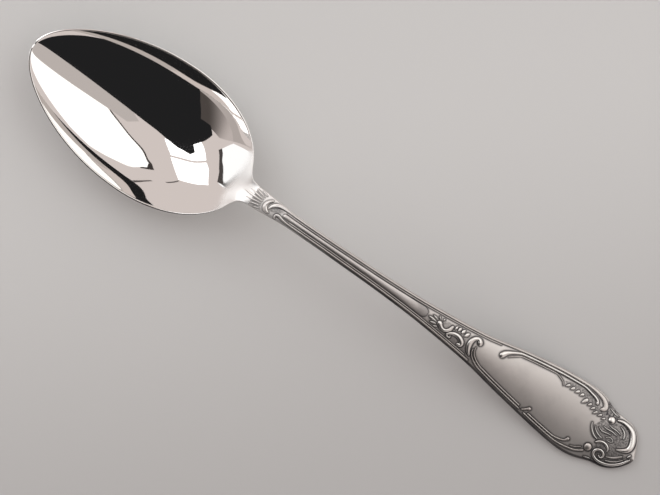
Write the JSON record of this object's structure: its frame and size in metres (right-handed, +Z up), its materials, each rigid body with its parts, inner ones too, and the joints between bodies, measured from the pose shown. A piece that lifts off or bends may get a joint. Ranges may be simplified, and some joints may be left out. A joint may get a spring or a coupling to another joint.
{
  "type": "serving spoon",
  "caption": "Long silver-plated serving spoon with a pointed oval bowl, an arched moulded stem and a broad handle struck with shell, leaf and scroll ornament.",
  "frame": {"origin": "middle of the spoon's bounding box, on the table it lies on", "axes": "+X from the bowl's tip to the handle's end, +Z up out of the bowl, +Y across"},
  "size_m": [0.23, 0.046, 0.0232],
  "materials": {
    "polished_bowl": "silver plate polished to a mirror",
    "satin_handle": "silver plate with a soft hand-worn satin",
    "dark_ground": "silver plate darkened by tarnish in the sunken ground",
    "struck_relief": "struck silver relief, bright on its crests and dark at its feet"
  },
  "bodies": {
    "root": {"bowl": "polished_bowl", "neck": "satin_handle", "stem": "satin_handle", "blade": "satin_handle", "end_plate": "dark_ground", "neck_leaf": "struck_relief", "neck_scroll": "struck_relief", "upper_edge_bead": "struck_relief", "lower_edge_bead": "struck_relief", "upper_fillet": "struck_relief", "lower_fillet": "struck_relief", "stem_rib": "struck_relief", "leaf_spray": "struck_relief", "ball_scroll": "struck_relief", "c_scroll": "struck_relief", "shell_flutes": "struck_relief", "leaf_volute": "struck_relief", "panel_line_pair": "struck_relief", "panel_hook": "struck_relief", "rim_line_pair": "struck_relief", "lower_ball": "struck_relief", "upper_scroll": "struck_relief", "panel_fillet": "struck_relief", "husk_fringe": "struck_relief", "end_scroll": "struck_relief", "end_ball": "struck_relief", "end_volute": "struck_relief", "end_leaf": "struck_relief", "hood_scroll": "struck_relief", "edge_leaves": "struck_relief"}
  },
  "joints": []
}
